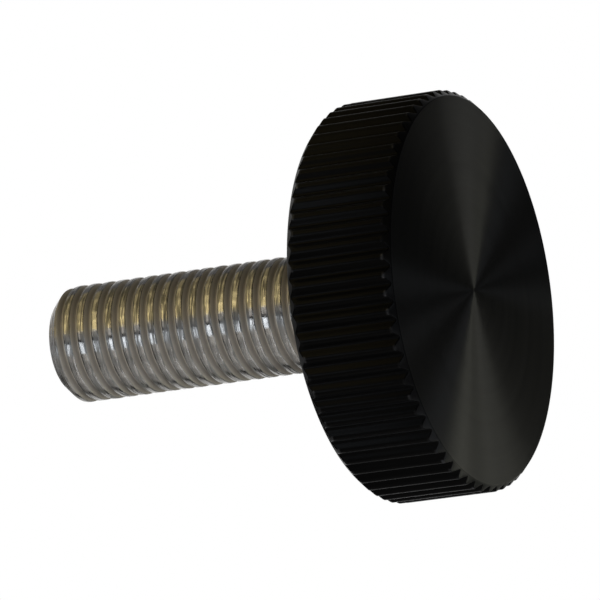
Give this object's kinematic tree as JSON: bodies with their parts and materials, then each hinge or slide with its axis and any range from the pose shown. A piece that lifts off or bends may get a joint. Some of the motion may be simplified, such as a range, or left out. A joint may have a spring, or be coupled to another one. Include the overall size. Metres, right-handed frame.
{
  "type": "thumb screw",
  "caption": "Thumb screw: a straight-knurled disc head in black anodised aluminium on a steel stud with a fine right-hand thread and a bevelled free end.",
  "frame": {"origin": "centre of the head's turned face, on the surface that the screw stands on", "axes": "+Z along the screw's axis, from the turned face towards the free end of the stud; +X through the middle of a knurl ridge"},
  "size_m": [0.027, 0.027, 0.0302],
  "materials": {
    "black_anodised": "black anodised, straight-knurled rim, fine-turned face with a circular grain",
    "stud_steel": "plain turned steel, satin thread flanks, bare and unplated"
  },
  "bodies": {
    "root": {"knurled_head": "black_anodised", "threaded_stud": "stud_steel"}
  },
  "joints": []
}
